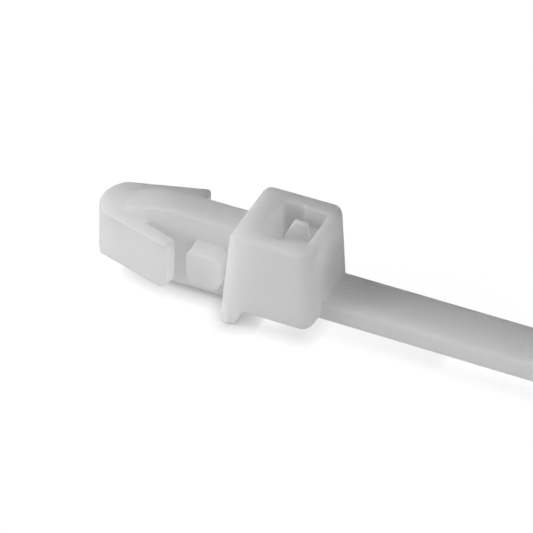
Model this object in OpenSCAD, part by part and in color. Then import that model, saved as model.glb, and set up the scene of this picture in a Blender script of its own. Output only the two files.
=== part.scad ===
// Cable tie with an arrowhead panel mount, moulded in one piece from natural nylon.
// The strap runs along +X from the head and the arrowhead points along -X.
// The origin lies on the axis of the arrowhead's stem, in the plane of the panel that the lip presses on.

/* [Strap] */
// Width of the strap
strap_w = 3.6; // [3:0.1:5]
// Thickness of the strap
strap_t = 1.35; // [0.95:0.05:1.5]
// Length of the strap from the head to the tip of its tail
strap_l = 140; // [100:5:300]
// Radius of the strap's long edges
strap_edge_r = 0.15; // [0.05:0.05:0.25]
// Radius of the fillet where the strap's outer face meets the head
strap_root_r = 0.3; // [0.1:0.05:0.5]

/* [Toothed track] */
// Spacing of the teeth, on the strap and on the pawl
tooth_pitch = 1; // [0.8:0.05:1.4]
// Depth of the teeth
tooth_h = 0.45; // [0.3:0.05:0.6]
// Flat at the crest of each tooth
tooth_land = 0.12; // [0.05:0.01:0.25]
// How far the crests lie below the side rails
crest_recess = 0.05; // [0.02:0.01:0.12]
// Width of the smooth rail on each side of the teeth
rail_w = 0.45; // [0.35:0.05:0.7]
// Plain length between the head and the first tooth
track_lead = 8; // [5:0.5:20]

/* [Tail] */
// Length of the tapered tail
tail_l = 25; // [18:1:40]
// Width of the tail at its tip
tail_tip_w = 1.8; // [1.2:0.1:2.4]
// Spacing of the grip grooves across the tail
grip_pitch = 1.6; // [1.2:0.1:3]
// Depth of each grip groove
grip_depth = 0.12; // [0.05:0.01:0.2]
// Plain length of the tail before its grip and after it
grip_margin = 4; // [3:0.5:7]

/* [Head] */
// Height of the head
head_h = 5.85; // [5.5:0.05:7]
// How far the head's underside lies below the stem's axis
head_drop = 1.95; // [1.7:0.05:2.3]
// Height of the strap's underside above the head's underside
strap_rise = 0.21; // [0.1:0.01:0.4]
// Wall beside the strap slot, at the top of the head
side_wall = 0.97; // [0.7:0.01:1.4]
// Wall between the mount side and the strap slot, at the top of the head
mount_wall = 1.64; // [1.2:0.01:2.2]
// Wall between the pawl pocket and the strap, at the top of the head
end_wall = 0.77; // [0.6:0.01:1.2]
// Draft of the two long sides, in degrees
side_draft = 1.5; // [0.5:0.1:3]
// Draft of the strap end, in degrees
end_draft = 3.1; // [0.5:0.1:5]
// Radius of the upright corners at the strap end
end_corner_r = 1; // [0.4:0.05:1.2]
// Radius of the upright corner at the far side of the mount face
far_corner_r = 0.65; // [0.2:0.05:0.9]
// Radius of the head's other edges
edge_r = 0.12; // [0.05:0.01:0.3]
// Radius of the near long upper edge
side_edge_r = 0.35; // [0.1:0.05:0.5]
// Radius of the far long upper edge
far_edge_r = 0.1; // [0.05:0.05:0.5]
// Radius of the upper edge at the strap end
end_edge_r = 0.6; // [0.2:0.05:0.6]
// Radius of the lower edge at the strap end
under_edge_r = 0.85; // [0.3:0.05:1.2]

/* [Strap slot] */
// Clearance across the strap's thickness
slot_clear = 0.11; // [0.05:0.01:0.25]
// Clearance on each side of the strap's width
slot_side_clear = 0.1; // [0.05:0.01:0.2]
// Radius of the lead-in at the slot's mouths
lead_r = 0.3; // [0.1:0.05:0.5]

/* [Locking pawl] */
// Length of the pocket that the pawl bends into
pawl_room = 1.73; // [1.5:0.01:2.2]
// Height of solid between the strap's outer face and the pocket's floor
pocket_floor_t = 0.6; // [0.4:0.05:1]
// Wall that the pocket is narrower by on each side than the slot
pocket_step = 0.2; // [0.1:0.05:0.3]
// Gap behind the pawl at rest
flex_gap = 0.4; // [0.3:0.01:0.6]
// Clearance between the pawl and each side of the toothed track
pawl_clear = 0.1; // [0.05:0.01:0.2]
// Thickness of the hinge at the pawl's root
hinge_t = 0.6; // [0.4:0.05:0.8]
// How far the pawl's upper crest stands into the slot at rest
pawl_bite = 0.55; // [0.4:0.01:0.7]
// How far each lower crest lies back from the one above it
crest_step = 0.15; // [0.05:0.01:0.25]
// Depth of the notch between the pawl's crests
crest_notch = 0.32; // [0.2:0.01:0.4]
// Depth of the pawl's upper crest below the top of the head
crest_depth = 1.15; // [0.9:0.05:1.5]
// Width of the release nib on the pawl's free end
nib_w = 0.4; // [0.3:0.02:1.2]
// Length of the nib's top along the strap
nib_l = 0.87; // [0.6:0.01:1]
// How far the nib stands above the head
nib_rise = 0.24; // [0:0.02:0.6]
// Distance of the nib's top from the slot
nib_set = 0.12; // [0:0.01:0.25]
// How much the nib's back flank leans out below its top
nib_flare = 0.3; // [0.1:0.01:0.35]

/* [Lip] */
// How far the lip reaches below the head's underside
lip_drop = 1.35; // [1.2:0.05:2]
// Radius of the lip's edge
lip_r = 0.55; // [0.35:0.05:0.7]
// Lean of the mount face and the lip towards the panel, in degrees
lip_lean = 5.4; // [4:0.1:10]
// Slope of the lip's rear side from upright, in degrees
lip_back = 26; // [15:1:40]

/* [Arrowhead] */
// Diameter of the panel hole
hole_d = 6.35; // [5.8:0.05:7.2]
// Clearance between the stem's round edges and the hole
hole_clear = 0.13; // [0.05:0.01:0.3]
// Clearance between the corners of the side blocks and the hole
block_clear = 0.33; // [0.2:0.01:0.6]
// Distance between the lip and the ends of the barbs
grip_range = 3.68; // [3:0.02:5]
// Distance between the barbs' ends and the nose's tip
nose_reach = 6.3; // [5.6:0.02:8]
// Radius of the nose
nose_r = 2; // [1.2:0.05:2.4]
// Slope of the nose's two faces from square, in degrees
nose_slope = 36; // [28:1:44]
// Lean of the nose and of the barbs' ends, in degrees
arrow_lean = 3.4; // [0.5:0.1:5]
// Width over the nose's shoulders
shoulder_w = 3.4; // [2.8:0.05:3.7]
// Height of the nose and the barbs
barb_h = 3.66; // [3:0.02:4.2]
// Distance over the ends of the barbs
barb_span = 6.58; // [6.2:0.02:7.4]
// Thickness of each barb at its end
barb_t = 1; // [0.8:0.01:1.2]
// Rake of the barbs' ends, in degrees
barb_rake = 9; // [1:0.5:18]
// Radius of the lower corner at each barb's end
barb_low_r = 0.7; // [0.2:0.05:1.2]
// Radius of the upper corner at each barb's end
barb_top_r = 0.25; // [0.1:0.05:0.6]
// Depth of the slit between each barb and the stem
slit_l = 2.25; // [1.6:0.05:3]
// Radius of the closed end of each slit
slit_r = 0.22; // [0.12:0.01:0.28]
// Thickness of the stem
stem_t = 2.34; // [1.8:0.02:2.6]
// Radius of the stem's long edges
stem_edge_r = 0.25; // [0.1:0.05:0.5]
// Distance of the start of the stem's taper behind the barbs' ends
taper_start = 0.75; // [0.3:0.05:2]
// Radius of the stem's taper
taper_r = 7; // [6:0.1:8]
// Length of the side blocks
block_l = 2.3; // [1.6:0.1:2.6]
// Height of the side blocks
block_h = 2.55; // [1.8:0.05:2.8]
// Distance between the lip's plane and the side blocks
block_gap = 0.34; // [0.2:0.01:0.5]
// Radius of the corners of the side blocks
block_r = 0.45; // [0.1:0.05:0.6]

/* [Hidden] */
$fn = 64;
// Overlap of pieces that join, and overshoot of cuts past a face
join = 0.2;
over = 1;

// Heights of the head, the strap and the pawl's pocket
head_z0 = -head_drop;
head_z1 = head_z0 + head_h;
strap_z0 = head_z0 + strap_rise;
strap_z1 = strap_z0 + strap_t;
pocket_z0 = strap_z1 + pocket_floor_t;
lip_z0 = head_z0 - lip_drop;
lip_zc = lip_z0 + lip_r;

// Places along the strap's line
slot_x0 = mount_x(head_z1) + mount_wall;
slot_x1 = slot_x0 + strap_t + slot_clear;
pocket_x1 = slot_x1 + pawl_room;
end_x = pocket_x1 + end_wall;
strap_x0 = head_end(strap_z1);
strap_x1 = strap_x0 + strap_l;
tail_x0 = strap_x1 - tail_l;

// Widths of what the strap passes through
slot_w = strap_w + 2 * slot_side_clear;
slot_corner_r = strap_edge_r + slot_side_clear;
pocket_w = slot_w - 2 * pocket_step;
track_w = strap_w - 2 * rail_w;
pawl_w = track_w - 2 * pawl_clear;
head_top_w = slot_w + 2 * side_wall;
head_low_w = 2 * side_y(lip_z0);

// The toothed track and the tail's grip
track_x0 = strap_x0 + track_lead;
track_teeth = floor((tail_x0 - track_x0) / tooth_pitch);
grip_count = floor((tail_l - 2 * grip_margin) / grip_pitch);

// The pawl's crests
crest_x = slot_x1 - pawl_bite;
crest_z = head_z1 - crest_depth;
pawl_teeth = floor((crest_z - pocket_z0) / tooth_pitch);
pawl_back_x = pocket_x1 - flex_gap;

// The arrowhead, with the nose at mid-height
barb_x1 = -grip_range;
tip_x = barb_x1 - nose_reach;
nose_point = nose_r * (1 - 1 / cos(nose_slope));
shoulder_x = tip_x + nose_point + shoulder_w / 2 * tan(nose_slope);
barb_spread = (barb_span - shoulder_w) / 2 / (barb_x1 - shoulder_x);
front_x = tip_x - over;
rear_x = barb_x1 + over;
slit_x0 = barb_x1 - slit_l;
stem_x0 = tip_x + nose_r / 2;
stem_x1 = mount_x(0) + end_wall;
stem_reach = hole_d / 2 - hole_clear - stem_edge_r;
stem_half = stem_edge_r + sqrt(pow(stem_reach, 2) - pow(stem_t / 2 - stem_edge_r, 2));
taper_x = barb_x1 - taper_start;
block_w = sqrt(pow(hole_d - 2 * block_clear, 2) - pow(block_h, 2));
block_x1 = -block_gap;

// X of the leaning mount face at height z; the lip's rounded edge touches X = 0
function mount_x(z) = lip_r * (1 - 1 / cos(lip_lean)) + (z - lip_zc) * tan(lip_lean);

// X of the head's strap end at height z
function head_end(z) = end_x + (head_z1 - z) * tan(end_draft);

// Y of the head's far side at height z
function side_y(z) = head_top_w / 2 + (head_z1 - z) * tan(side_draft);

// Y of the barbs' outer faces at x
function barb_y(x) = barb_span / 2 + barb_spread * (x - barb_x1);

function unit(v) = v / norm(v);

// The two points where an arc of radius r touches the sides of corner b of an outline
function corner_touches(a, b, c, r) =
    let (p = unit(a - b), q = unit(c - b), reach = r / tan(acos(p * q) / 2))
    [b + p * reach, b + q * reach];

// The middle of that arc
function corner_middle(a, b, c, r) =
    let (p = unit(a - b), q = unit(c - b))
    b + unit(p + q) * r / sin(acos(p * q) / 2);

// A convex outline whose corners are true arcs, with one radius for each corner
module rounded_outline(corners, radii) {
    n = len(corners);
    polygon([for (i = [0:n - 1])
        each corner_touches(corners[(i + n - 1) % n], corners[i], corners[(i + 1) % n], radii[i])]);
    for (i = [0:n - 1])
        translate(corner_middle(corners[(i + n - 1) % n], corners[i], corners[(i + 1) % n], radii[i]))
            circle(radii[i]);
}

// A concave fillet in the corner at the origin, between +X and +Y, with a root that joins both sides
module fillet_outline(r) {
    difference() {
        translate([-join, -join])
            square(r + join);
        translate([r, r])
            circle(r);
    }
}

// An XZ outline made solid, equally to both sides of the mid-plane
module across(width) {
    rotate([90, 0, 0])
        linear_extrude(width, center = true)
            children();
}

// A YZ outline made solid from x0 to x1
module along(x0, x1) {
    translate([x0, 0, 0])
        rotate([90, 0, 90])
            linear_extrude(x1 - x0)
                children();
}

// An XY outline made solid from z0 to z1
module upright(z0, z1) {
    translate([0, 0, z0])
        linear_extrude(z1 - z0)
            children();
}

// Side view of the head: the leaning mount face, the rounded strap end and the lip below
module head_side() {
    rounded_outline(
        [[mount_x(head_z0), head_z0], [head_end(head_z0), head_z0],
         [head_end(head_z1), head_z1], [mount_x(head_z1), head_z1]],
        [edge_r, under_edge_r, end_edge_r, edge_r]);
    lip_side();
}

// Side view of the lip: a round edge between the mount face and the sloping rear side
module lip_side() {
    middle = [lip_r, lip_zc];
    front = middle + lip_r * [-cos(lip_lean), sin(lip_lean)];
    rear = middle + lip_r * [cos(lip_back), -sin(lip_back)];
    inside_z = head_z0 + join;
    translate(middle)
        circle(lip_r);
    polygon([middle, front, [mount_x(inside_z), inside_z],
             [rear[0] + (inside_z - rear[1]) * tan(lip_back), inside_z], rear]);
}

// End view of the head: drafted sides with rounded upper edges
module head_front() {
    rounded_outline(
        [[-head_low_w / 2, lip_z0], [head_low_w / 2, lip_z0],
         [head_top_w / 2, head_z1], [-head_top_w / 2, head_z1]],
        [edge_r, edge_r, far_edge_r, side_edge_r]);
}

// Outline of what a round corner leaves out, where sides along p and q meet at the origin
module corner_waste(p, q, r) {
    touches = corner_touches(p, [0, 0], q, r);
    middle = corner_middle(p, [0, 0], q, r);
    difference() {
        polygon([touches[0], -over * unit(p + q), touches[1], middle]);
        translate(middle)
            circle(r);
    }
}

// Rounds the far upright corner of the head's end at x, which leans by the angle given; way points inwards
module round_upright(x, lean, way, r) {
    tilt = atan(tan(side_draft) * cos(lean));
    translate([x, side_y(0), 0])
        rotate([tilt, lean, 0])
            upright(lip_z0 - over, head_z1 + over)
                corner_waste([0, -1], way * [cos(lean), sin(lean) * sin(tilt)], r);
}

module head_block() {
    difference() {
        intersection() {
            across(head_low_w + over)
                head_side();
            along(-over, head_end(head_z0) + over)
                head_front();
        }
        round_upright(mount_x(0), lip_lean, 1, far_corner_r);
        round_upright(head_end(0), -end_draft, -1, end_corner_r);
        mirror([0, 1, 0]) {
            round_upright(mount_x(0), lip_lean, 1, edge_r);
            round_upright(head_end(0), -end_draft, -1, end_corner_r);
        }
    }
}

// The strap's way through the head, with rounded lead-ins on the mount side at both mouths
module slot_cut() {
    half = slot_w / 2;
    upright(head_z0 - over, head_z1 + over)
        rounded_outline(
            [[slot_x0, -half], [slot_x1, -half], [slot_x1, half], [slot_x0, half]],
            [slot_corner_r, edge_r, edge_r, slot_corner_r]);
    across(slot_w - 2 * slot_corner_r) {
        translate([slot_x0, head_z1])
            mirror([0, 1])
                lead_outline();
        translate([slot_x0, head_z0])
            lead_outline();
    }
}

// Side view of a rounded lead-in, to be taken from the edge at the origin
module lead_outline() {
    difference() {
        translate([-lead_r, -join])
            square([lead_r + join, lead_r + join]);
        translate([-lead_r, lead_r])
            circle(lead_r);
    }
}

// The pocket that the pawl stands in and bends into
module pocket_cut() {
    translate([slot_x1 - join, -pocket_w / 2, pocket_z0])
        cube([pocket_x1 - slot_x1 + join, pocket_w, head_z1 - pocket_z0 + over]);
}

// Side view of the pawl: a hinged tongue with crests that let the strap rise and hold it from slipping back
module pawl_side() {
    body_z = crest_z + crest_step;
    polygon(concat(
        [[pawl_back_x - hinge_t, pocket_z0 - join]],
        [[pawl_back_x - hinge_t, pocket_z0]],
        [for (i = [pawl_teeth - 1:-1:0])
            each [[crest_x + i * crest_step, crest_z - i * tooth_pitch],
                  [crest_x + i * crest_step + crest_notch, crest_z - i * tooth_pitch + crest_step]]],
        [[pawl_back_x, body_z], [pawl_back_x, pocket_z0 - join]]));
}

// Side view of the nib on the pawl's free end, by which the tie is released
module nib_side() {
    x0 = slot_x1 + nib_set;
    z1 = head_z1 + nib_rise;
    polygon([[crest_x, crest_z], [x0, z1], [x0 + nib_l, z1], [x0 + nib_l + nib_flare, crest_z + crest_step],
             [x0 + nib_l, crest_z - crest_step]]);
}

module pawl() {
    across(pawl_w)
        pawl_side();
    across(nib_w)
        nib_side();
}

module head() {
    difference() {
        head_block();
        slot_cut();
        pocket_cut();
    }
    pawl();
}

// Side view of the toothed cut: each tooth has a steep face towards the head and a slope towards the tail
module track_side() {
    crest = strap_z0 + crest_recess;
    root = crest + tooth_h;
    polygon(concat(
        [[track_x0, strap_z0 - over]],
        [for (i = [0:track_teeth - 1])
            let (x = track_x0 + i * tooth_pitch)
            each [[x, crest], [x + tooth_land, crest], [x + tooth_pitch, root]]],
        [[track_x0 + track_teeth * tooth_pitch, strap_z0 - over]]));
}

// Plan of the strap with its tapered tail and round tip
module strap_plan() {
    half = strap_w / 2;
    tip = tail_tip_w / 2;
    translate([strap_x1 - tip, 0])
        circle(tip);
    polygon([[strap_x0 - end_wall, -half - over], [tail_x0, -half - over], [tail_x0, -half],
             [strap_x1 - tip, -tip], [strap_x1 - tip, tip], [tail_x0, half],
             [tail_x0, half + over], [strap_x0 - end_wall, half + over]]);
}

// Grip grooves across both faces of the tail
module grip_cut() {
    for (i = [0:grip_count], z = [strap_z0, strap_z1])
        translate([tail_x0 + grip_margin + i * grip_pitch, 0, z])
            rotate([90, 45, 0])
                cube([grip_depth * sqrt(2), grip_depth * sqrt(2), strap_w + over], center = true);
}

module strap() {
    half = strap_w / 2;
    difference() {
        intersection() {
            along(strap_x0 - end_wall, strap_x1 + over)
                rounded_outline(
                    [[-half, strap_z0], [half, strap_z0], [half, strap_z1], [-half, strap_z1]],
                    [for (i = [0:3]) strap_edge_r]);
            upright(strap_z0 - over, strap_z1 + over)
                strap_plan();
        }
        across(track_w)
            track_side();
        grip_cut();
    }
    translate([strap_x0, 0, strap_z1])
        across(strap_w - 2 * strap_edge_r)
            fillet_outline(strap_root_r);
}

// Plan of the two spring barbs, whose outer faces run on past the nose and past the barbs' ends
module barb_plan() {
    front = barb_y(front_x);
    rear = barb_y(rear_x);
    difference() {
        polygon([[front_x, -front], [rear_x, -rear], [rear_x, rear], [front_x, front]]);
        for (side = [-1, 1])
            scale([1, side])
                slit_plan();
    }
}

// Plan of the slit that frees one barb from the stem
module slit_plan() {
    half = stem_t / 2;
    middle = [slit_x0 + slit_r, half + slit_r];
    translate(middle)
        circle(slit_r);
    polygon([[middle[0], half - join], [rear_x + join, half - join],
             [rear_x + join, barb_y(rear_x + join) - barb_t],
             [barb_x1, barb_y(barb_x1) - barb_t], middle + [0, slit_r]]);
}

// Plan of the nose's blunt wedge and all that lies behind it, drawn from its tip
module nose_plan() {
    reach = barb_span / 2 + over;
    wide_x = nose_point + reach * tan(nose_slope);
    back_x = nose_reach + 2 * over;
    rounded_outline(
        [[nose_point, 0], [wide_x, -reach], [back_x, -reach], [back_x, reach], [wide_x, reach]],
        [nose_r, edge_r, edge_r, edge_r, edge_r]);
}

// Side view of a barb, with its leaning end and round corners, drawn from the middle of its end
module barb_side() {
    half = barb_h / 2;
    front = nose_reach + 2 * over;
    lean = half * tan(arrow_lean);
    rounded_outline(
        [[-front, -half], [-lean, -half], [lean, half], [-front, half]],
        [edge_r, barb_low_r, barb_top_r, edge_r]);
}

// The nose and the two barbs: their plan, the leaning nose and one raked end for each barb
module barbs() {
    intersection() {
        upright(-barb_h, barb_h)
            barb_plan();
        translate([tip_x, 0, 0])
            rotate([0, arrow_lean, 0])
                upright(-barb_h, barb_h)
                    nose_plan();
        barb_end();
        mirror([0, 1, 0])
            barb_end();
    }
}

// All that lies in front of the raked end of the far barb
module barb_end() {
    translate([barb_x1, barb_span / 2, 0])
        rotate([0, 0, barb_rake])
            across(2 * (barb_span + over))
                barb_side();
}

// Half section of a disc with a rounded rim, as thick as the stem
module disc_section() {
    half = stem_t / 2;
    translate([0, -half])
        square([taper_r - stem_edge_r, stem_t]);
    translate([0, stem_edge_r - half])
        square([taper_r, stem_t - 2 * stem_edge_r]);
    for (y = [stem_edge_r - half, half - stem_edge_r])
        translate([taper_r - stem_edge_r, y])
            circle(stem_edge_r);
}

// The disc that gives the stem's taper one of its two arcs
module taper_disc(middle_z) {
    translate([taper_x, 0, middle_z])
        rotate([90, 0, 0])
            rotate_extrude()
                disc_section();
}

// The stem, which tapers to the nose in two arcs
module stem() {
    half = stem_t / 2;
    along(taper_x, stem_x1)
        rounded_outline(
            [[-half, -stem_half], [half, -stem_half], [half, stem_half], [-half, stem_half]],
            [for (i = [0:3]) stem_edge_r]);
    intersection() {
        taper_disc(stem_half - taper_r);
        taper_disc(taper_r - stem_half);
        translate([stem_x0, -stem_t, -stem_half - over])
            cube([taper_x - stem_x0, 2 * stem_t, 2 * (stem_half + over)]);
    }
}

// Side view of the blocks that centre the stem in the hole
module block_side() {
    rounded_outline(
        [[block_x1 - block_l, -block_h / 2], [block_x1, -block_h / 2],
         [block_x1, block_h / 2], [block_x1 - block_l, block_h / 2]],
        [for (i = [0:3]) block_r]);
}

module arrowhead() {
    barbs();
    stem();
    across(block_w)
        block_side();
}

module cable_tie() {
    color("gainsboro")
        union() {
            head();
            strap();
            arrowhead();
        }
}

cable_tie();
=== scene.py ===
# %% [markdown]
# # A nylon cable tie with an arrowhead mount
#
# The real tie comes out of one mould as one piece of natural nylon: a nose with two sprung barbs that
# snap into a hole in a panel, a head with a slot and a locking pawl, and a long toothed strap.
# This lesson models it at its real size, melts its edges soft as a mould leaves them, gives it a milky
# translucent nylon, and lights it like a small product on white paper.
#
# The imported model comes first. It is the fixed frame: the tie that is modelled here lies where it lies.

import math

import bmesh
import bpy
from mathutils import Matrix, Vector


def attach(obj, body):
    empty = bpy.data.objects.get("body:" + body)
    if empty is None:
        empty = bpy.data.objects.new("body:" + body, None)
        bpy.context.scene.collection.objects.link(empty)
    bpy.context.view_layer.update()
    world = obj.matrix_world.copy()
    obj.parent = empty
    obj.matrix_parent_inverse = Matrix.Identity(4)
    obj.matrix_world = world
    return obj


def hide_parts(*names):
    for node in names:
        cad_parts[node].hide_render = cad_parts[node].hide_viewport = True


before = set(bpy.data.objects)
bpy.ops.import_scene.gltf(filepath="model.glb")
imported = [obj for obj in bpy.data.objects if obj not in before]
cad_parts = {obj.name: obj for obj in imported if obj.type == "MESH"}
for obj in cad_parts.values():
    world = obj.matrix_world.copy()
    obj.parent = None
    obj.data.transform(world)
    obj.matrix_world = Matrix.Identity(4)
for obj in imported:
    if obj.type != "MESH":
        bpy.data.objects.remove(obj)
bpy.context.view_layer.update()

# %% [markdown]
# ## Outlines that become solids
#
# A moulded part is drawn as outlines: a side view, a plan and an end view. Each outline here starts as one
# face with a few corners. A vertex bevel rounds a corner, and one extrusion gives the face its depth.
# The same could be done from cubes with loop cuts, but an outline keeps every size as a number to read.
# All sizes are in millimetres, and `place` turns them into Blender's metres.

# %% Slabs and drums
MM = 0.001
ARC_STEPS = 12
VIEWS = {"side": (0, 2, 1), "plan": (0, 1, 2), "end": (1, 2, 0)}
TURNS = {"side": Matrix.Rotation(math.pi / 2, 4, "X"), "plan": Matrix.Identity(4)}


def place(view, a, b, depth):
    """A point that is drawn at a, b in a view and lies at that depth."""
    point = Vector((0, 0, 0))
    for axis, value in zip(VIEWS[view], (a, b, depth)):
        point[axis] = value * MM
    return point


def round_corner(bm, vert, radius):
    """Rounds one corner of an outline that is still flat."""
    before, after = (edge.other_vert(vert).co - vert.co for edge in vert.link_edges)
    reach = radius * MM / math.tan(before.angle(after) / 2)
    bmesh.ops.bevel(bm, geom=[vert], offset=reach, offset_type="OFFSET", affect="VERTICES",
                    segments=ARC_STEPS, profile=0.5, material=-1, clamp_overlap=False)


def new_piece(name, bm):
    """The bmesh as an object at the origin, with its faces pointing outwards."""
    bmesh.ops.recalc_face_normals(bm, faces=bm.faces)
    mesh = bpy.data.meshes.new(name)
    bm.to_mesh(mesh)
    bm.free()
    piece = bpy.data.objects.new(name, mesh)
    bpy.context.scene.collection.objects.link(piece)
    return piece


def raise_face(bm, view, height):
    """Extrudes the outline's one face along the view's depth."""
    grown = bmesh.ops.extrude_face_region(bm, geom=bm.faces[:])["geom"]
    lifted = [item for item in grown if isinstance(item, bmesh.types.BMVert)]
    bmesh.ops.translate(bm, vec=place(view, 0, 0, height), verts=lifted)


def slab(name, view, corners, low, high, radii=()):
    """An outline from its corners, some of them rounded, extruded from one depth to another."""
    bm = bmesh.new()
    verts = [bm.verts.new(place(view, a, b, low)) for a, b in corners]
    bm.faces.new(verts)
    for vert, radius in zip(verts, radii):
        round_corner(bm, vert, radius)
    raise_face(bm, view, high - low)
    return new_piece(name, bm)


def drum(name, view, middle, radius, low, high, rim=0, segments=4 * ARC_STEPS):
    """A round outline, extruded from one depth to another, with its two rims rounded if asked."""
    bm = bmesh.new()
    spot = Matrix.Translation(place(view, *middle, low)) @ TURNS[view]
    bmesh.ops.create_circle(bm, cap_ends=True, radius=radius * MM, segments=segments, matrix=spot)
    raise_face(bm, view, high - low)
    if rim:
        rims = {edge for face in bm.faces if len(face.edges) == segments for edge in face.edges}
        bmesh.ops.bevel(bm, geom=list(rims), offset=rim * MM, offset_type="OFFSET", affect="EDGES",
                        segments=ARC_STEPS // 2, profile=0.5, material=-1)
    return new_piece(name, bm)


def turn(piece, axis, angle, spot):
    """Turns a piece that was drawn around the origin, and sets it down at a place in millimetres."""
    piece.data.transform(Matrix.Translation(Vector(spot) * MM) @ Matrix.Rotation(angle, 4, axis))
    return piece


# %% [markdown]
# ## Joining and cutting
#
# The forms meet as solids: the head is what three outlines have in common, the slot is cut out of it, and
# the strap and the arrowhead are added. Boolean modifiers do this. The Manifold solver is chosen because
# every slab is closed, so it is quick and leaves a closed solid. Each modifier is applied at once, so that
# the next step works on a plain mesh.

# %% Boolean steps
def settle(piece):
    """Applies the piece's modifiers."""
    shaped = piece.evaluated_get(bpy.context.evaluated_depsgraph_get())
    mesh = bpy.data.meshes.new_from_object(shaped)
    piece.modifiers.clear()
    piece.data = mesh


def combine(piece, operation, *tools):
    """Joins the tools to the piece, cuts them out of it, or keeps what they share, and removes them."""
    for tool in tools:
        step = piece.modifiers.new(operation.lower(), "BOOLEAN")
        step.operation = operation
        step.solver = "MANIFOLD"
        step.object = tool
    settle(piece)
    for tool in tools:
        bpy.data.objects.remove(tool)
    return piece


# %% [markdown]
# ## The head
#
# The head is a small block with a little draft, so that it leaves the mould. Its mount face leans forward
# into a lip that presses on the panel. A block with bevelled edges would come close, but the corners have
# different radii, so a side view and an end view are intersected, and a leaning prism then rounds each
# upright corner.

# %% Head block
HEAD_TOP = 3.9
HEAD_LOW = -1.95
LIP_DROP = 1.35
LIP_R = 0.55
LIP_LEAN = math.radians(5.4)
LIP_BACK = math.radians(26)
STRAP_W = 3.6
STRAP_T = 1.35
SLOT_CLEAR = 0.11
SLOT_SIDE_CLEAR = 0.1
SIDE_WALL = 0.97
MOUNT_WALL = 1.64
PAWL_ROOM = 1.73
END_WALL = 0.77
SIDE_DRAFT = math.radians(1.5)
END_DRAFT = math.radians(3.1)
END_CORNER_R = 1.0
FAR_CORNER_R = 0.65
EDGE_R = 0.12
SIDE_EDGE_R = 0.35
FAR_EDGE_R = 0.1
END_EDGE_R = 0.6
UNDER_EDGE_R = 0.85
OVER = 1.0
JOIN = 0.2

lip_z0 = HEAD_LOW - LIP_DROP
lip_zc = lip_z0 + LIP_R


def mount_x(z):
    """X of the leaning mount face at height z."""
    return LIP_R * (1 - 1 / math.cos(LIP_LEAN)) + (z - lip_zc) * math.tan(LIP_LEAN)


slot_x0 = mount_x(HEAD_TOP) + MOUNT_WALL
slot_x1 = slot_x0 + STRAP_T + SLOT_CLEAR
pocket_x1 = slot_x1 + PAWL_ROOM
end_x = pocket_x1 + END_WALL
slot_w = STRAP_W + 2 * SLOT_SIDE_CLEAR
head_top_half = slot_w / 2 + SIDE_WALL


def head_end(z):
    """X of the head's strap end at height z."""
    return end_x + (HEAD_TOP - z) * math.tan(END_DRAFT)


def side_y(z):
    """Y of the head's far side at height z."""
    return head_top_half + (HEAD_TOP - z) * math.tan(SIDE_DRAFT)


def upright_corner(x, lean, way, side, radius):
    """A prism with one round edge, which lies along an upright corner of the head and covers the rest."""
    tilt = math.atan(math.tan(SIDE_DRAFT) * math.cos(lean))
    far = 3 * head_top_half
    a, b = way * far * math.cos(lean), way * far * math.sin(lean) * math.sin(tilt)
    prism = slab("upright_corner", "plan", [(0, 0), (0, -side * far), (a, side * (b - far)), (a, side * b)],
                 lip_z0 - OVER, HEAD_TOP + OVER, [radius])
    turn(prism, "X", side * tilt, (0, 0, 0))
    return turn(prism, "Y", lean, (x, side * side_y(0), 0))


def head_block():
    """The head before its slot is cut, with the lip below it."""
    low_half = side_y(lip_z0)
    reach = low_half + OVER
    head = slab("head", "side",
                [(mount_x(HEAD_LOW), HEAD_LOW), (head_end(HEAD_LOW), HEAD_LOW),
                 (head_end(HEAD_TOP), HEAD_TOP), (mount_x(HEAD_TOP), HEAD_TOP)],
                -reach, reach, [EDGE_R, UNDER_EDGE_R, END_EDGE_R, EDGE_R])
    front = (LIP_R - LIP_R * math.cos(LIP_LEAN), lip_zc + LIP_R * math.sin(LIP_LEAN))
    rear = (LIP_R + LIP_R * math.cos(LIP_BACK), lip_zc - LIP_R * math.sin(LIP_BACK))
    inside_z = HEAD_LOW + JOIN
    wedge = slab("lip_wedge", "side",
                 [(LIP_R, lip_zc), front, (mount_x(inside_z), inside_z),
                  (rear[0] + (inside_z - rear[1]) * math.tan(LIP_BACK), inside_z), rear], -reach, reach)
    edge = drum("lip_edge", "side", (LIP_R, lip_zc), LIP_R, reach, -reach)
    combine(head, "UNION", wedge, edge)
    ends = slab("head_ends", "end",
                [(-low_half, lip_z0), (low_half, lip_z0),
                 (head_top_half, HEAD_TOP), (-head_top_half, HEAD_TOP)],
                -OVER, head_end(HEAD_LOW) + OVER, [EDGE_R, EDGE_R, FAR_EDGE_R, SIDE_EDGE_R])
    corners = []
    for side, mount_r in ((-1, EDGE_R), (1, FAR_CORNER_R)):
        corners += [upright_corner(mount_x(0), LIP_LEAN, 1, side, mount_r),
                    upright_corner(head_end(0), -END_DRAFT, -1, side, END_CORNER_R)]
    return combine(head, "INTERSECT", ends, *corners)


head = head_block()
print("head block:", len(head.data.polygons), "faces, strap end at", round(head_end(HEAD_TOP), 3), "mm")

# %% [markdown]
# ## The strap slot and the locking pawl
#
# The strap comes up through the slot, past a pawl that stands in a pocket beside it. The pawl's crests lean
# against the strap's teeth, so the strap runs one way only, and a small nib on top lets a fingernail bend
# the pawl away. The slot and the pocket are cut first, and the pawl is then stood in the pocket, because
# one outline for all three would have to be drawn around the gaps that the pawl needs to bend.

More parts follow.
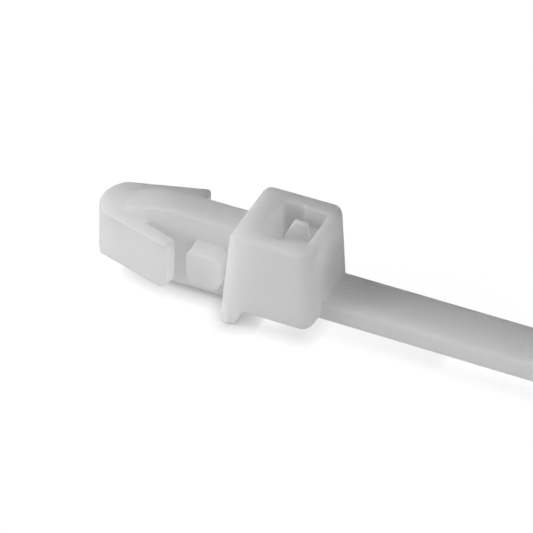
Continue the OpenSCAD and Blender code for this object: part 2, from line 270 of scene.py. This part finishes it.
# %% Slot, pocket and pawl
STRAP_RISE = 0.21
STRAP_EDGE_R = 0.15
LEAD_R = 0.3
POCKET_FLOOR_T = 0.6
POCKET_STEP = 0.2
FLEX_GAP = 0.4
PAWL_CLEAR = 0.1
HINGE_T = 0.6
PAWL_BITE = 0.55
CREST_STEP = 0.15
CREST_NOTCH = 0.32
CREST_DEPTH = 1.15
TOOTH_PITCH = 1.0
RAIL_W = 0.45
NIB_W = 0.4
NIB_L = 0.87
NIB_RISE = 0.24
NIB_SET = 0.12
NIB_FLARE = 0.3

strap_z0 = HEAD_LOW + STRAP_RISE
strap_z1 = strap_z0 + STRAP_T
pocket_z0 = strap_z1 + POCKET_FLOOR_T
track_half = STRAP_W / 2 - RAIL_W
crest_x = slot_x1 - PAWL_BITE
crest_z = HEAD_TOP - CREST_DEPTH


def lead_in(mouth_z, inward):
    """What is cut away to round the slot's edge on the mount side, at one of its mouths."""
    half = slot_w / 2 - STRAP_EDGE_R - SLOT_SIDE_CLEAR
    x0, x1 = slot_x0 - LEAD_R, slot_x0 + JOIN
    low, high = sorted((mouth_z - inward * JOIN, mouth_z + inward * LEAD_R))
    cut = slab("lead_in", "side", [(x0, low), (x1, low), (x1, high), (x0, high)], -half, half)
    kept = drum("lead_round", "side", (x0, mouth_z + inward * LEAD_R), LEAD_R, half + OVER, -half - OVER)
    return combine(cut, "DIFFERENCE", kept)


def cut_slot(head):
    """The strap's way through the head, and the pocket that the pawl bends into."""
    half = slot_w / 2
    corner_r = STRAP_EDGE_R + SLOT_SIDE_CLEAR
    slot = slab("slot", "plan", [(slot_x0, -half), (slot_x1, -half), (slot_x1, half), (slot_x0, half)],
                HEAD_LOW - OVER, HEAD_TOP + OVER, [corner_r, EDGE_R, EDGE_R, corner_r])
    wall = half - POCKET_STEP
    pocket = slab("pocket", "plan",
                  [(slot_x1 - JOIN, -wall), (pocket_x1, -wall), (pocket_x1, wall), (slot_x1 - JOIN, wall)],
                  pocket_z0, HEAD_TOP + OVER)
    return combine(head, "DIFFERENCE", slot, pocket, lead_in(HEAD_TOP, -1), lead_in(HEAD_LOW, 1))


def stand_pawl(head):
    """The hinged tongue with its crests, and the nib on its free end."""
    back_x = pocket_x1 - FLEX_GAP
    crests = []
    for i in reversed(range(int((crest_z - pocket_z0) / TOOTH_PITCH))):
        x, z = crest_x + i * CREST_STEP, crest_z - i * TOOTH_PITCH
        crests += [(x, z), (x + CREST_NOTCH, z + CREST_STEP)]
    half = track_half - PAWL_CLEAR
    tongue = slab("pawl", "side",
                  [(back_x - HINGE_T, pocket_z0 - JOIN), (back_x - HINGE_T, pocket_z0), *crests,
                   (back_x, crest_z + CREST_STEP), (back_x, pocket_z0 - JOIN)], -half, half)
    x0, z1 = slot_x1 + NIB_SET, HEAD_TOP + NIB_RISE
    nib = slab("nib", "side",
               [(crest_x, crest_z), (x0, z1), (x0 + NIB_L, z1),
                (x0 + NIB_L + NIB_FLARE, crest_z + CREST_STEP), (x0 + NIB_L, crest_z - CREST_STEP)],
               -NIB_W / 2, NIB_W / 2)
    return combine(head, "UNION", tongue, nib)


stand_pawl(cut_slot(head))
print("slot:", round(slot_w, 2), "x", round(slot_x1 - slot_x0, 2), "mm")
print("head with its slot and pawl:", len(head.data.polygons), "faces")

# %% [markdown]
# ## The strap
#
# The strap is a flat band with soft long edges. Its underside, which lies against the cables, carries a
# track of ratchet teeth between two smooth rails, and its tail tapers to a tip with grip grooves.
# A modifier could array one tooth, but here one comb of an outline cuts the whole track in a single step.

# %% Strap, teeth and tail
STRAP_L = 140.0
STRAP_ROOT_R = 0.3
STRAP_TOP_R = 0.32
TOOTH_H = 0.45
TOOTH_LAND = 0.12
CREST_RECESS = 0.05
TRACK_LEAD = 8.0
TAIL_L = 25.0
TAIL_TIP_W = 1.8
GRIP_PITCH = 1.6
GRIP_DEPTH = 0.12
GRIP_MARGIN = 4.0

strap_x0 = head_end(strap_z1)
strap_x1 = strap_x0 + STRAP_L
tail_x0 = strap_x1 - TAIL_L
track_x0 = strap_x0 + TRACK_LEAD
tooth_count = int((tail_x0 - track_x0) / TOOTH_PITCH)


def tooth_comb():
    """The cut between the rails: a steep face towards the head and a slope towards the tail at each tooth."""
    crest = strap_z0 + CREST_RECESS
    corners = [(track_x0, strap_z0 - OVER)]
    for i in range(tooth_count):
        x = track_x0 + i * TOOTH_PITCH
        corners += [(x, crest), (x + TOOTH_LAND, crest), (x + TOOTH_PITCH, crest + TOOTH_H)]
    corners.append((track_x0 + tooth_count * TOOTH_PITCH, strap_z0 - OVER))
    return slab("teeth", "side", corners, -track_half, track_half)


def grip_grooves():
    """Square bars on edge, which leave V grooves across both faces of the tail."""
    bm = bmesh.new()
    side = GRIP_DEPTH * math.sqrt(2) * MM
    bar = Matrix.Rotation(math.pi / 4, 4, "Y") @ Matrix.Diagonal((side, (STRAP_W + OVER) * MM, side, 1))
    for i in range(int((TAIL_L - 2 * GRIP_MARGIN) / GRIP_PITCH) + 1):
        for z in (strap_z0, strap_z1):
            spot = place("side", tail_x0 + GRIP_MARGIN + i * GRIP_PITCH, z, 0)
            bmesh.ops.create_cube(bm, size=1, matrix=Matrix.Translation(spot) @ bar)
    return new_piece("grooves", bm)


def make_strap():
    half, tip = STRAP_W / 2, TAIL_TIP_W / 2
    root_x = strap_x0 - END_WALL
    strap = slab("strap", "end", [(-half, strap_z0), (half, strap_z0), (half, strap_z1), (-half, strap_z1)],
                 root_x, strap_x1 + OVER, [STRAP_EDGE_R, STRAP_EDGE_R, STRAP_TOP_R, STRAP_TOP_R])
    low, high = strap_z0 - OVER, strap_z1 + OVER
    plan = slab("strap_plan", "plan",
                [(root_x, -half - OVER), (tail_x0, -half - OVER), (tail_x0, -half), (strap_x1 - tip, -tip),
                 (strap_x1 - tip, tip), (tail_x0, half), (tail_x0, half + OVER), (root_x, half + OVER)],
                low, high)
    combine(plan, "UNION", drum("tail_tip", "plan", (strap_x1 - tip, 0), tip, low, high))
    combine(strap, "INTERSECT", plan)
    return combine(strap, "DIFFERENCE", tooth_comb(), grip_grooves())


def root_fillet():
    """The hollow fillet where the strap's outer face leaves the head."""
    half = STRAP_W / 2 - STRAP_EDGE_R
    x0, z0 = strap_x0 - JOIN, strap_z1 - JOIN
    x1, z1 = strap_x0 + STRAP_ROOT_R, strap_z1 + STRAP_ROOT_R
    block = slab("root", "side", [(x0, z0), (x1, z0), (x1, z1), (x0, z1)], -half, half)
    hollow = drum("root_round", "side", (x1, z1), STRAP_ROOT_R, half + OVER, -half - OVER)
    return combine(block, "DIFFERENCE", hollow)


strap = make_strap()
print("strap:", STRAP_L, "mm with", tooth_count, "teeth")

# %% [markdown]
# ## The arrowhead
#
# The nose and the two barbs share one plan, slit so that each barb can spring in. A blunt wedge trims it to
# the nose, and a raked end with round corners trims each barb. Both lean a little, so these slabs are turned
# before they are intersected, which a straight extrusion couldn't do. The stem between the barbs is taller:
# its round edges follow it down to the nose where two large discs with rounded rims overlap.

# %% Nose, barbs and stem
HOLE_D = 6.35
HOLE_CLEAR = 0.13
BLOCK_CLEAR = 0.33
GRIP_RANGE = 3.68
NOSE_REACH = 6.3
NOSE_R = 2.0
NOSE_SLOPE = math.radians(36)
ARROW_LEAN = math.radians(3.4)
SHOULDER_W = 3.4
BARB_H = 3.66
BARB_SPAN = 6.58
BARB_T = 1.0
BARB_RAKE = math.radians(9)
BARB_LOW_R = 0.7
BARB_TOP_R = 0.25
SLIT_L = 2.25
SLIT_R = 0.22
STEM_T = 2.34
STEM_EDGE_R = 0.25
STEM_SOFT_R = 0.1
TAPER_START = 0.75
TAPER_R = 7.0
TAPER_STEPS = 16 * ARC_STEPS
BLOCK_L = 2.3
BLOCK_H = 2.55
BLOCK_GAP = 0.34
BLOCK_R = 0.45

barb_x1 = -GRIP_RANGE
tip_x = barb_x1 - NOSE_REACH
nose_point = NOSE_R * (1 - 1 / math.cos(NOSE_SLOPE))
shoulder_x = tip_x + nose_point + SHOULDER_W / 2 * math.tan(NOSE_SLOPE)
barb_spread = (BARB_SPAN - SHOULDER_W) / 2 / (barb_x1 - shoulder_x)
taper_x = barb_x1 - TAPER_START
stem_x0 = tip_x + NOSE_R / 2
stem_x1 = mount_x(0) + END_WALL
stem_reach = HOLE_D / 2 - HOLE_CLEAR - STEM_EDGE_R
stem_half = STEM_EDGE_R + math.sqrt(stem_reach ** 2 - (STEM_T / 2 - STEM_EDGE_R) ** 2)
block_half = math.sqrt((HOLE_D - 2 * BLOCK_CLEAR) ** 2 - BLOCK_H ** 2) / 2


def barb_y(x):
    """Y of the barbs' outer faces at x."""
    return BARB_SPAN / 2 + barb_spread * (x - barb_x1)


def barb_plan():
    """The plan of both barbs, slit along the stem, which runs on past the nose and past the barbs' ends."""
    front_x, rear_x = tip_x - OVER, barb_x1 + OVER
    barbs = slab("barbs", "plan",
                 [(front_x, -barb_y(front_x)), (rear_x, -barb_y(rear_x)), (rear_x, barb_y(rear_x)),
                  (front_x, barb_y(front_x))], -BARB_H, BARB_H)
    inner, height = STEM_T / 2, BARB_H + OVER
    slit_x = barb_x1 - SLIT_L + SLIT_R
    mouth_x = rear_x + JOIN
    for side in (-1, 1):
        corners = [(slit_x, inner - JOIN), (mouth_x, inner - JOIN), (mouth_x, barb_y(mouth_x) - BARB_T),
                   (barb_x1, barb_y(barb_x1) - BARB_T), (slit_x, inner + 2 * SLIT_R)]
        slit = slab("slit", "plan", [(x, side * y) for x, y in corners], -height, height)
        end = drum("slit_end", "plan", (slit_x, side * (inner + SLIT_R)), SLIT_R, -height, height)
        combine(barbs, "DIFFERENCE", slit, end)
    return barbs


def make_barbs():
    """The barbs' plan, trimmed by the leaning nose and by one raked end for each barb."""
    reach = BARB_SPAN / 2 + OVER
    wide_x, back_x = nose_point + reach * math.tan(NOSE_SLOPE), NOSE_REACH + 2 * OVER
    nose = slab("nose", "plan",
                [(nose_point, 0), (wide_x, -reach), (back_x, -reach), (back_x, reach), (wide_x, reach)],
                -BARB_H, BARB_H, [NOSE_R])
    trims = [turn(nose, "Y", ARROW_LEAN, (tip_x, 0, 0))]
    half, lean = BARB_H / 2, BARB_H / 2 * math.tan(ARROW_LEAN)
    for side in (-1, 1):
        end = slab("barb_end", "side", [(-lean, -half), (lean, half), (-back_x, half), (-back_x, -half)],
                   -BARB_SPAN - OVER, BARB_SPAN + OVER, [BARB_LOW_R, BARB_TOP_R])
        trims.append(turn(end, "Z", side * BARB_RAKE, (barb_x1, side * BARB_SPAN / 2, 0)))
    return combine(barb_plan(), "INTERSECT", *trims)


def make_stem():
    """The tall stem with round edges, which tapers to the nose where two discs overlap."""
    half = STEM_T / 2
    outline = [(-half, -stem_half), (half, -stem_half), (half, stem_half), (-half, stem_half)]
    stem = slab("stem", "end", outline, taper_x, stem_x1, [STEM_SOFT_R] * len(outline))
    taper = slab("taper", "end", outline, stem_x0, taper_x + JOIN)
    for middle_z in (stem_half - TAPER_R, TAPER_R - stem_half):
        disc = drum("taper_disc", "side", (taper_x, middle_z), TAPER_R, half, -half, STEM_SOFT_R, TAPER_STEPS)
        combine(taper, "INTERSECT", disc)
    return combine(stem, "UNION", taper)


def make_arrowhead():
    x0, x1, side = -BLOCK_GAP - BLOCK_L, -BLOCK_GAP, BLOCK_H / 2
    outline = [(x0, -side), (x1, -side), (x1, side), (x0, side)]
    blocks = slab("blocks", "side", outline, -block_half, block_half, [BLOCK_R] * len(outline))
    return combine(make_barbs(), "UNION", make_stem(), blocks)


arrow = make_arrowhead()
print("arrowhead: stem", round(2 * stem_half, 2), "mm tall for a hole of", HOLE_D, "mm")

# %% [markdown]
# ## One piece with soft edges
#
# Molten nylon fills a mould whose edges are never knife sharp, so every edge and inner corner of the real
# tie is a little round. A Bevel modifier trips over the many small faces that the cuts leave. So the solid
# is remeshed into fine even quads, a few passes of smoothing melt the edges, and a decimation then takes
# the faces that the flat stretches don't need.

# %% Join, melt and thin
VOXEL = 0.065
MELT_PASSES = 3
MELT_PULL = 0.5
TRIANGLES = 180000


def triangle_count(mesh):
    return sum(len(face.vertices) - 2 for face in mesh.polygons)


def melt(piece):
    """Rounds every edge by about a voxel or two, and keeps the mesh within its count of triangles."""
    remesh = piece.modifiers.new("remesh", "REMESH")
    remesh.mode = "VOXEL"
    remesh.voxel_size = VOXEL * MM
    smooth = piece.modifiers.new("melt", "SMOOTH")
    smooth.factor = MELT_PULL
    smooth.iterations = MELT_PASSES
    settle(piece)
    thin = piece.modifiers.new("thin", "DECIMATE")
    thin.ratio = min(1, TRIANGLES / triangle_count(piece.data))
    settle(piece)
    for face in piece.data.polygons:
        face.use_smooth = True


tie = combine(head, "UNION", strap, root_fillet(), arrow)
tie.name = "nylon_tie"
print("joined:", len(tie.data.polygons), "faces")
melt(tie)
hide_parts("cable_tie")
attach(tie, "root")
print("melted:", triangle_count(tie.data), "triangles")

# %% [markdown]
# ## Natural nylon
#
# Undyed nylon 6/6 is milky: light enters it, scatters and comes out nearby, so thin parts and edges glow and
# shadows in it are soft. Random walk subsurface scattering does this. The walls of the slot and the pocket
# are so thin that light also comes right through them, which a translucent share passes on from one face to
# the next. The mould was spark eroded, which leaves a fine satin grain, and the melt's flow leaves faint
# clouds, so both the height and the colour vary a little. Plain white plastic would look like plaster here.

# %% Nylon material
NYLON = "#fdfdfd"
NYLON_CLOUD = "#f8f8f8"
SCATTER_MM = 2.0
PASSED_SHARE = 0.5
SATIN_ROUGHNESS = 0.42
NYLON_IOR = 1.53
CLOUD_MM = 2.5
CLOUD_DETAIL = 5.0
CLOUD_FINE = 0.85
GRAIN_MM = 0.2
GRAIN_DETAIL = 2.0
GRAIN_DEPTH_MM = 0.03
GRAIN_STRENGTH = 0.8


def linear(hex_colour):
    """An sRGB hex colour as linear RGBA."""
    parts = [int(hex_colour[i:i + 2], 16) / 255 for i in (1, 3, 5)]
    return [c / 12.92 if c <= 0.04045 else ((c + 0.055) / 1.055) ** 2.4 for c in parts] + [1.0]


def add_node(tree, kind, settings=None, **links):
    """Adds a node, sets its values and links its inputs, named with _ for spaces."""
    node = tree.nodes.new(kind)
    for name, value in (settings or {}).items():
        if hasattr(node, name):
            setattr(node, name, value)
        else:
            node.inputs[name].default_value = value
    for name, output in links.items():
        tree.links.new(output, node.inputs[name.replace("_", " ")])
    return node


def nylon():
    material = bpy.data.materials.new("natural nylon 6/6, satin moulded")
    material.use_nodes = True
    tree = material.node_tree
    tree.nodes.clear()
    spot = add_node(tree, "ShaderNodeTexCoord").outputs["Object"]
    clouds = add_node(tree, "ShaderNodeTexNoise", {"Scale": 1 / (CLOUD_MM * MM), "Detail": CLOUD_DETAIL,
                                                   "Roughness": CLOUD_FINE}, Vector=spot)
    tint = add_node(tree, "ShaderNodeMix", {"data_type": "RGBA"})
    tree.links.new(clouds.outputs["Fac"], tint.inputs["Factor"])
    tint.inputs[6].default_value = linear(NYLON)
    tint.inputs[7].default_value = linear(NYLON_CLOUD)
    grain = add_node(tree, "ShaderNodeTexNoise", {"Scale": 1 / (GRAIN_MM * MM), "Detail": GRAIN_DETAIL},
                     Vector=spot)
    bump = add_node(tree, "ShaderNodeBump", {"Strength": GRAIN_STRENGTH, "Distance": GRAIN_DEPTH_MM * MM},
                    Height=grain.outputs["Fac"])
    colour, normal = tint.outputs[2], bump.outputs["Normal"]
    shader = add_node(tree, "ShaderNodeBsdfPrincipled",
                      {"Roughness": SATIN_ROUGHNESS, "IOR": NYLON_IOR, "Subsurface Weight": 1.0,
                       "Subsurface Scale": SCATTER_MM * MM, "Subsurface Radius": (1.0, 1.0, 1.0)},
                      Base_Color=colour, Normal=normal)
    passed = add_node(tree, "ShaderNodeBsdfTranslucent", Color=colour, Normal=normal)
    share = add_node(tree, "ShaderNodeMath", {"operation": "MAXIMUM"})
    tree.links.new(add_node(tree, "ShaderNodeNewGeometry").outputs["Backfacing"], share.inputs[0])
    share.inputs[1].default_value = PASSED_SHARE
    both = add_node(tree, "ShaderNodeMixShader", Fac=share.outputs[0])
    tree.links.new(shader.outputs["BSDF"], both.inputs[1])
    tree.links.new(passed.outputs["BSDF"], both.inputs[2])
    add_node(tree, "ShaderNodeOutputMaterial", Surface=both.outputs[0])
    return material


tie.data.materials.clear()
tie.data.materials.append(nylon())
print("material:", tie.data.materials[0].name)

# %% [markdown]
# ## The paper and the light
#
# The tie lies on white paper, on its lip and the end of its tail. The paper is a plane through those two, and
# it takes the tie's shadow. Two large soft lamps stand to the left, one low and one high, a weaker one stands
# in front and a faint one at the back. To the camera the paper and the world are white, which is done with
# the light path and not with more light on the tie. Close to the tie the paper is shaded by ambient
# occlusion, because a white glow by itself would hide the shadow where the lip touches down.

# %% Paper, lamps and world
PAPER_SIZE = 1.2
PAPER_GLOW = 1.09
PAPER_SEEN = 0.89
PAPER = "#f2f2f2"
PAPER_LIGHT = "#ffffff"
PAPER_SHADE = "#707070"
SHADE_REACH_MM = 1.55
SHADE_SAMPLES = 32
LAMP_SIZE = 0.2
LAMP_FAR = 0.3
LAMPS = {"left": (-56, 16, 0.54), "left_high": (-78, 42, 0.34), "front": (28, 12, 0.39),
         "back": (150, 12, 0.08)}

rest_front = Vector((LIP_R, 0, lip_z0)) * MM
rest_tail = Vector((strap_x1, 0, strap_z0)) * MM


def white_to_camera(tree, strength):
    """The strength for rays that show the background, in the picture, in gloss or through glass.
    Rays that the nylon scatters are left out, so that the white background puts no light on the tie."""
    path = add_node(tree, "ShaderNodeLightPath")

    def step(operation, first, second):
        node = add_node(tree, "ShaderNodeMath", {"operation": operation, "use_clamp": True})
        tree.links.new(first, node.inputs[0])
        tree.links.new(second, node.inputs[1])
        return node.outputs[0]

    shown = step("MAXIMUM", path.outputs["Is Camera Ray"], path.outputs["Is Glossy Ray"])
    shown = step("MAXIMUM", shown, path.outputs["Is Transmission Ray"])
    shown = step("SUBTRACT", shown, path.outputs["Is Diffuse Ray"])
    scaled = add_node(tree, "ShaderNodeMath", {"operation": "MULTIPLY"})
    tree.links.new(shown, scaled.inputs[0])
    scaled.inputs[1].default_value = strength
    return scaled.outputs[0]


def paper():
    """The sheet through the lip and the tail's end. Most of what the camera sees of it is its own white."""
    bm = bmesh.new()
    bmesh.ops.create_grid(bm, x_segments=1, y_segments=1, size=PAPER_SIZE / 2)
    slope = rest_tail - rest_front
    lean = Matrix.Rotation(-math.atan2(slope.z, slope.x), 4, "Y")
    bmesh.ops.transform(bm, matrix=Matrix.Translation(rest_front) @ lean, verts=bm.verts)
    sheet = new_piece("paper", bm)
    material = bpy.data.materials.new("white paper")
    material.use_nodes = True
    tree = material.node_tree
    tree.nodes.clear()
    matt = add_node(tree, "ShaderNodeBsdfDiffuse", {"Color": linear(PAPER)})
    open_sky = add_node(tree, "ShaderNodeAmbientOcclusion",
                        {"Distance": SHADE_REACH_MM * MM, "samples": SHADE_SAMPLES})
    tone = add_node(tree, "ShaderNodeMix", {"data_type": "RGBA"})
    tree.links.new(open_sky.outputs["AO"], tone.inputs["Factor"])
    tone.inputs[6].default_value = linear(PAPER_SHADE)
    tone.inputs[7].default_value = linear(PAPER_LIGHT)
    glow = add_node(tree, "ShaderNodeEmission", {"Strength": PAPER_GLOW}, Color=tone.outputs[2])
    both = add_node(tree, "ShaderNodeMixShader", Fac=white_to_camera(tree, PAPER_SEEN))
    tree.links.new(matt.outputs[0], both.inputs[1])
    tree.links.new(glow.outputs[0], both.inputs[2])
    add_node(tree, "ShaderNodeOutputMaterial", Surface=both.outputs[0])
    sheet.data.materials.append(material)


def lamp(name, azimuth, elevation, power):
    """A square soft lamp that faces the tie. Its azimuth is counted from the front to the right."""
    light = bpy.data.lights.new(name, "AREA")
    light.size = LAMP_SIZE
    light.energy = power
    holder = bpy.data.objects.new(name, light)
    bpy.context.scene.collection.objects.link(holder)
    round_to, up = math.radians(azimuth), math.radians(elevation)
    towards = Vector((math.sin(round_to) * math.cos(up), -math.cos(round_to) * math.cos(up), math.sin(up)))
    holder.location = towards * LAMP_FAR
    holder.rotation_euler = towards.to_track_quat("Z", "Y").to_euler()


def studio_world():
    """A dark studio, which is white only where the camera sees past the paper."""
    world = bpy.data.worlds.new("studio")
    bpy.context.scene.world = world
    world.use_nodes = True
    tree = world.node_tree
    tree.nodes.clear()
    white = linear(PAPER_LIGHT)
    sky = add_node(tree, "ShaderNodeBackground", {"Color": white}, Strength=white_to_camera(tree, 1.0))
    add_node(tree, "ShaderNodeOutputWorld", Surface=sky.outputs[0])


paper()
for name, (azimuth, elevation, power) in LAMPS.items():
    lamp(name, azimuth, elevation, power)
studio_world()
print("paper:", round(-rest_front.z / MM, 2), "mm below the stem's axis where the lip touches it")

# %% [markdown]
# ## The camera
#
# The photograph was taken with a long lens from the front, above and to the right, so its edges hardly
# converge. The camera's place was worked out from corners of the tie, whose places in the model are known.

# %% Camera
EYE = Vector((53.58, -112.43, 102.39)) * MM
AZIMUTH = math.radians(24.691)
ELEVATION = math.radians(39.697)
LENS = 168.86
SENSOR = 36.0
NEAREST = 0.005

camera = bpy.data.objects.new("camera", bpy.data.cameras.new("camera"))
bpy.context.scene.collection.objects.link(camera)
camera.data.lens = LENS
camera.data.sensor_width = SENSOR
camera.data.clip_start = NEAREST
camera.location = EYE
camera.rotation_euler = (math.pi / 2 - ELEVATION, 0, AZIMUTH)
bpy.context.scene.camera = camera
bpy.context.scene.view_settings.view_transform = "Standard"
print("camera at", [round(v, 4) for v in camera.location])
